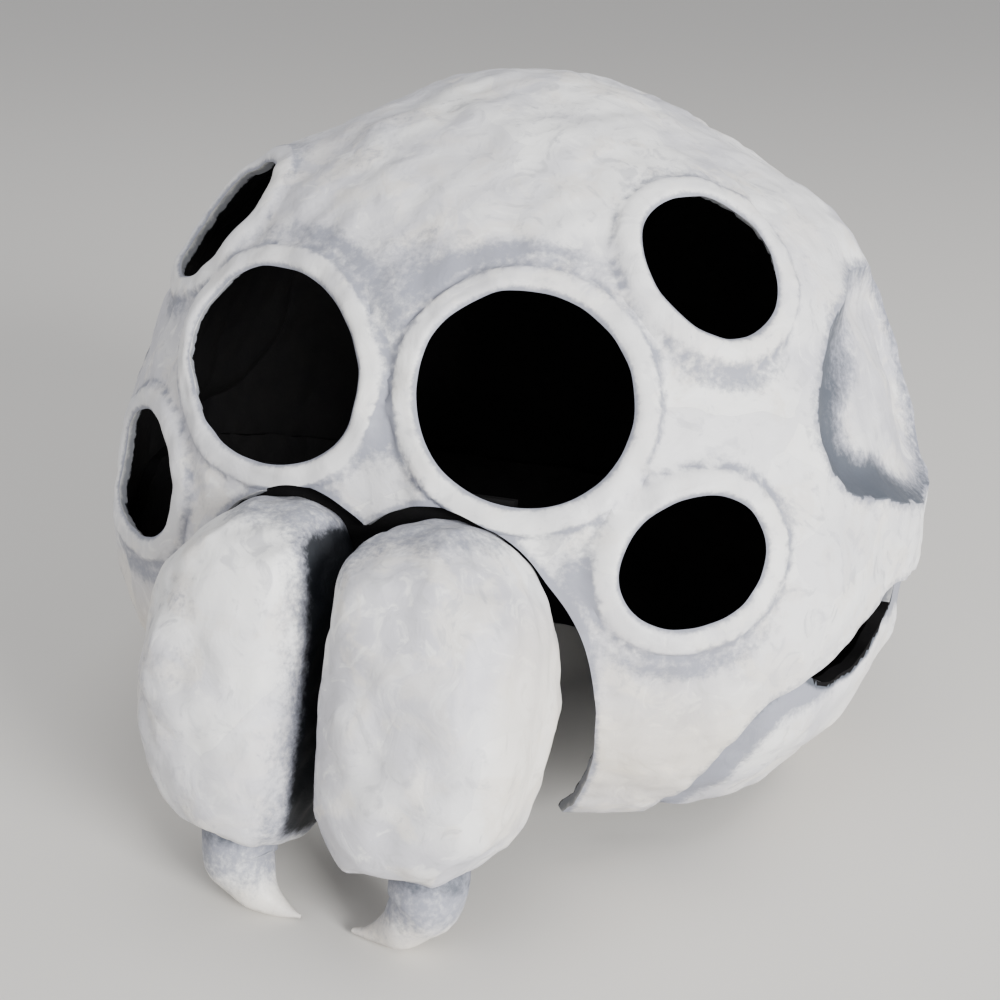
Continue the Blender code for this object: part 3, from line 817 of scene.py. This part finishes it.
# A tapering fang that drops from the jaw's underside and hooks towards the middle
def make_fang(jaw):
    bm = bmesh.new()
    ring = bmesh.ops.create_circle(bm, segments=FANG_SIDES, radius=1.0)["verts"]
    bmesh.ops.contextual_create(bm, geom=ring)
    edges = bm.edges[:]
    root = Matrix.Translation((jaw.side * FANG_X, FANG_Y, JAW_Z - JAW_HALF_HEIGHT + FANG_SINK))
    root = root @ Matrix.Scale(FANG_RADIUS, 4)
    bmesh.ops.transform(bm, matrix=root, verts=ring)
    before = root
    for station in fang_stations(jaw.side):
        grown = bmesh.ops.extrude_edge_only(bm, edges=edges)["geom"]
        ring = [item for item in grown if isinstance(item, bmesh.types.BMVert)]
        edges = [item for item in grown if isinstance(item, bmesh.types.BMEdge)]
        bmesh.ops.transform(bm, matrix=station @ before.inverted(), verts=ring)
        before = station
    bmesh.ops.contextual_create(bm, geom=ring)
    outward(bm)
    points = places(bm)
    normals = np.array([vert.normal for vert in bm.verts])
    place(bm, points + normals * FANG_LUMP_SHARE * lumps(points)[:, None])
    outward(bm)
    mesh = bpy.data.meshes.new("fang_painted_" + jaw.name)
    bm.to_mesh(mesh)
    bm.free()
    drop = (JAW_Z - JAW_HALF_HEIGHT - mesh_points(mesh)[:, 2]) / FANG_DROP
    # Painted shade: grey that lightens towards the tip, dark at the root under the jaw
    set_values(mesh, "wash_and_painted_shade", 0.85 - 0.55 * smooth_step(drop, 0.3, 0.9))
    set_values(mesh, "painted_shade", 0.75 * (1.0 - smooth_step(drop, -0.05, 0.4)))
    set_values(mesh, "cream", 0.8 * smooth_step(drop, 0.4, 0.9))
    mesh.materials.append(FANG_BONE)
    return finish_piece("fang_painted_" + jaw.name, mesh, "fang_" + jaw.name, sharp_angle=60)


# Set a socket: link another node's output to it, or write its value
def feed(tree, socket, value):
    if isinstance(value, bpy.types.NodeSocket):
        tree.links.new(value, socket)
    else:
        socket.default_value = value


def attribute(tree, name):
    node = tree.nodes.new("ShaderNodeAttribute")
    node.attribute_name = name
    return node.outputs["Fac"]


# Object coordinates, stretched by a scale along each axis
def stretched(tree, scale):
    node = tree.nodes.new("ShaderNodeMapping")
    tree.links.new(tree.nodes.new("ShaderNodeTexCoord").outputs["Object"], node.inputs["Vector"])
    node.inputs["Scale"].default_value = scale
    return node.outputs["Vector"]


def noise(tree, scale, detail=3.0, roughness=0.5, distortion=0.0, stretch=(1, 1, 1)):
    node = tree.nodes.new("ShaderNodeTexNoise")
    tree.links.new(stretched(tree, stretch), node.inputs["Vector"])
    node.inputs["Scale"].default_value = scale
    node.inputs["Detail"].default_value = detail
    node.inputs["Roughness"].default_value = roughness
    node.inputs["Distortion"].default_value = distortion
    return node.outputs["Fac"]


def sum_of(tree, first, second, factor=1.0):
    node = tree.nodes.new("ShaderNodeMath")
    node.operation = "MULTIPLY_ADD"
    feed(tree, node.inputs[0], second)
    feed(tree, node.inputs[1], factor)
    feed(tree, node.inputs[2], first)
    return node.outputs[0]


def product(tree, first, second):
    node = tree.nodes.new("ShaderNodeMath")
    node.operation = "MULTIPLY"
    feed(tree, node.inputs[0], first)
    feed(tree, node.inputs[1], second)
    return node.outputs[0]


# Spread a value between two limits out to two new ones
def graded(tree, value, low, high, start=0.0, end=1.0):
    node = tree.nodes.new("ShaderNodeMapRange")
    node.interpolation_type = "SMOOTHSTEP"
    for socket, number in zip(node.inputs[:5], (value, low, high, start, end)):
        feed(tree, socket, number)
    return node.outputs["Result"]


def mixed(tree, factor, first, second):
    node = tree.nodes.new("ShaderNodeMix")
    node.data_type = "RGBA"
    feed(tree, node.inputs["Factor"], factor)
    feed(tree, node.inputs[6], first)
    feed(tree, node.inputs[7], second)
    return node.outputs[2]


def new_paint(name):
    material = bpy.data.materials.new(name)
    material.use_nodes = True
    return material, material.node_tree, material.node_tree.nodes["Principled BSDF"]


def roughen(tree, shader, height, distance):
    bump = tree.nodes.new("ShaderNodeBump")
    bump.inputs["Strength"].default_value = 0.6
    bump.inputs["Distance"].default_value = distance
    feed(tree, bump.inputs["Height"], height)
    tree.links.new(bump.outputs["Normal"], shader.inputs["Normal"])


# Paint colours
WHITE = (0.80, 0.795, 0.78, 1.0)
COOL_WHITE = (0.55, 0.545, 0.58, 1.0)
WARM_WHITE = (0.72, 0.69, 0.65, 1.0)
PALE_GREY = (0.46, 0.46, 0.48, 1.0)
CREAM = (0.76, 0.69, 0.57, 1.0)
# Lavender grey, blue grey and charcoal are also the colours of the painted shade
LAVENDER_GREY = (0.25, 0.26, 0.31, 1.0)
BLUE_GREY = (0.07, 0.08, 0.10, 1.0)
CHARCOAL = (0.010, 0.012, 0.016, 1.0)
EDGE_GREY = (0.30, 0.31, 0.34, 1.0)
INSIDE_BLACK = (0.003, 0.003, 0.004, 1.0)
BROWN_BLACK = (0.007, 0.0065, 0.006, 1.0)


# Height of overlapping torn paper strips: each cell lies at its own level
def paper_strips(tree, scale):
    shift = tree.nodes.new("ShaderNodeTexNoise")
    tree.links.new(stretched(tree, (1, 1, 1)), shift.inputs["Vector"])
    shift.inputs["Scale"].default_value = 45
    bent = tree.nodes.new("ShaderNodeVectorMath")
    bent.operation = "MULTIPLY_ADD"
    tree.links.new(shift.outputs["Color"], bent.inputs[0])
    bent.inputs[1].default_value = (0.012, 0.012, 0.012)
    tree.links.new(stretched(tree, (1, 0.7, 1.3)), bent.inputs[2])
    cells = tree.nodes.new("ShaderNodeTexVoronoi")
    cells.inputs["Scale"].default_value = scale
    tree.links.new(bent.outputs[0], cells.inputs["Vector"])
    return cells.outputs["Color"]


# Brushed white over paper, with dry-brushed greys and painted shade where the values say
def painted_paper(name, dark):
    material, tree, shader = new_paint(name)
    patches = noise(tree, 15, detail=4, roughness=0.5, distortion=0.6)
    mottle = noise(tree, 48, detail=4, roughness=0.55, distortion=0.5)
    speckle = noise(tree, 400, detail=4, roughness=0.7)
    strokes = noise(tree, 70, detail=4, roughness=0.55, distortion=2.2, stretch=(1, 1, 0.85))
    strips = paper_strips(tree, 30)
    base = mixed(tree, graded(tree, patches, 0.38, 0.60), WHITE, COOL_WHITE)
    base = mixed(tree, graded(tree, mottle, 0.50, 0.62, 0.0, 0.8), base, WARM_WHITE)
    base = mixed(tree, graded(tree, strokes, 0.54, 0.68, 0.0, 0.65), base, PALE_GREY)
    base = mixed(tree, graded(tree, strokes, 0.32, 0.45, 0.75, 0.0), base, WHITE)
    base = mixed(tree, graded(tree, strips, 0.45, 0.85, 0.0, 0.45), base, COOL_WHITE)
    base = mixed(tree, product(tree, attribute(tree, "cream"), 0.6), base, CREAM)
    base = mixed(tree, product(tree, attribute(tree, "bright"), 0.4), base, WHITE)
    fine_grain = sum_of(tree, product(tree, strokes, 0.15), speckle, 0.50)
    grain = sum_of(tree, product(tree, mottle, 0.35), fine_grain)
    # Grey washes and painted shade, both in lavender grey
    wash_and_painted_shade = sum_of(tree, attribute(tree, "wash_and_painted_shade"), sum_of(tree, -0.5, grain), 2.4)
    base = mixed(tree, graded(tree, wash_and_painted_shade, 0.20, 1.0, 0.0, 0.95), base, LAVENDER_GREY)
    # Painted shade: lavender grey, then the dark colour, in hollows, creases, under overhangs and between
    # the jaws
    painted_shade = sum_of(tree, attribute(tree, "painted_shade"), sum_of(tree, -0.5, grain), 1.5)
    base = mixed(tree, graded(tree, painted_shade, 0.15, 0.60, 0.0, 0.85), base, LAVENDER_GREY)
    base = mixed(tree, graded(tree, painted_shade, 0.40, 0.95), base, dark)
    tree.links.new(base, shader.inputs["Base Color"])
    tree.links.new(graded(tree, mottle, 0.3, 0.7, 0.45, 0.68), shader.inputs["Roughness"])
    relief = sum_of(tree, sum_of(tree, mottle, strokes, 0.4), strips, 0.7)
    roughen(tree, shader, relief, 0.0014)
    return material


# Matt black brushed over the inside of the paper
def black_paint(name):
    material, tree, shader = new_paint(name)
    mottle = noise(tree, 90, detail=4, roughness=0.6)
    tree.links.new(mixed(tree, mottle, INSIDE_BLACK, BROWN_BLACK), shader.inputs["Base Color"])
    shader.inputs["Roughness"].default_value = 0.85
    shader.inputs["Specular IOR Level"].default_value = 0.12
    roughen(tree, shader, mottle, 0.0008)
    return material


# The cut thickness of the shell: white running into black, with a mottled grey between
def cut_edge_paint(name):
    material, tree, shader = new_paint(name)
    grain = noise(tree, 220, detail=4, roughness=0.65)
    depth = sum_of(tree, attribute(tree, "inside"), sum_of(tree, -0.5, grain), 1.2)
    base = mixed(tree, graded(tree, depth, -0.15, 0.5), WHITE, EDGE_GREY)
    base = mixed(tree, graded(tree, depth, 0.8, 1.05), base, CHARCOAL)
    tree.links.new(base, shader.inputs["Base Color"])
    shader.inputs["Roughness"].default_value = 0.75
    roughen(tree, shader, grain, 0.0006)
    return material


# The finishes
PAPER_WHITE = painted_paper("painted_paper_white", BLUE_GREY)
JAW_WHITE = painted_paper("painted_jaw_white", CHARCOAL)
FANG_BONE = painted_paper("painted_fang_bone", BLUE_GREY)
INNER_BLACK = black_paint("inner_black_paint")
CUT_EDGE = cut_edge_paint("cut_paper_edge")


# Floor, room and lights
FLOOR_COLOUR = (0.72, 0.70, 0.66, 1.0)
FLOOR_SIZE = 40
ROOM_COLOUR = (0.95, 0.96, 1.0, 1.0)
ROOM_BRIGHTNESS = 0.6
LIGHTS_AIM = Vector((0, 0, 0.13))
LIGHTS = (
    Light("key", position=(2.4, -1.5, 0.8), size=1.0, power=165),
    Light("fill", position=(-1.9, -1.6, 0.8), size=1.6, power=9),
    Light("top", position=(0.0, -0.2, 2.4), size=1.4, power=14),
)


def add_light(row):
    data = bpy.data.lights.new(row.name, "AREA")
    data.size = row.size
    data.energy = row.power
    light = bpy.data.objects.new(row.name, data)
    light.location = row.position
    light.rotation_euler = (LIGHTS_AIM - light.location).to_track_quat("-Z", "Y").to_euler()
    bpy.context.scene.collection.objects.link(light)


# A plain pale floor in a soft room, lit most from the viewer's right
def make_stage():
    bpy.ops.mesh.primitive_plane_add(size=FLOOR_SIZE)
    floor = bpy.context.object
    floor.name = "floor"
    material, tree, shader = new_paint("pale_floor")
    shader.inputs["Base Color"].default_value = FLOOR_COLOUR
    shader.inputs["Roughness"].default_value = 0.9
    floor.data.materials.append(material)
    world = bpy.data.worlds.new("soft_room")
    bpy.context.scene.world = world
    world.use_nodes = True
    world.node_tree.nodes["Background"].inputs["Color"].default_value = ROOM_COLOUR
    world.node_tree.nodes["Background"].inputs["Strength"].default_value = ROOM_BRIGHTNESS
    for row in LIGHTS:
        add_light(row)


# Camera against the level head: how it is turned and raised, and rolled to the right
CAMERA_TURN = 21.5
CAMERA_RAISE = 8.0
CAMERA_ROLL = 5.5
CAMERA_SHIFT = (0.007, 0.016)
CAMERA_DISTANCE = 0.711
CAMERA_LENS = 57.6
CAMERA_SENSOR = 36


def make_camera():
    data = bpy.data.cameras.new("camera")
    data.sensor_width = CAMERA_SENSOR
    data.lens = CAMERA_LENS
    camera = bpy.data.objects.new("camera", data)
    turn, lift, roll = radians(CAMERA_TURN), radians(CAMERA_RAISE), radians(CAMERA_ROLL)
    facing = Matrix((
        (cos(turn), sin(turn), 0),
        (-sin(turn) * sin(lift), cos(turn) * sin(lift), cos(lift)),
        (sin(turn) * cos(lift), -cos(turn) * cos(lift), sin(lift)),
    ))
    rolled = Matrix(((cos(roll), sin(roll), 0), (-sin(roll), cos(roll), 0), (0, 0, 1))) @ facing
    shift = Vector((*CAMERA_SHIFT, -CAMERA_DISTANCE))
    back = rolled.transposed()
    camera.matrix_world = STANCE @ Matrix.Translation(-(back @ shift)) @ back.to_4x4()
    bpy.context.scene.collection.objects.link(camera)
    bpy.context.scene.camera = camera


make_camera()
make_stage()
dome = dome_mesh((eyes_distance, mouth_distance, edge_distance, tuck_distance, temple_distance))
make_carapace(dome)
make_under_shell(dome)
dome.free()
for jaw in JAWS:
    make_jaw(jaw)
    make_fang(jaw)
bridge = frame["nodes"]["jaw_bridge"]
bridge.data.materials.clear()
bridge.data.materials.append(INNER_BLACK)
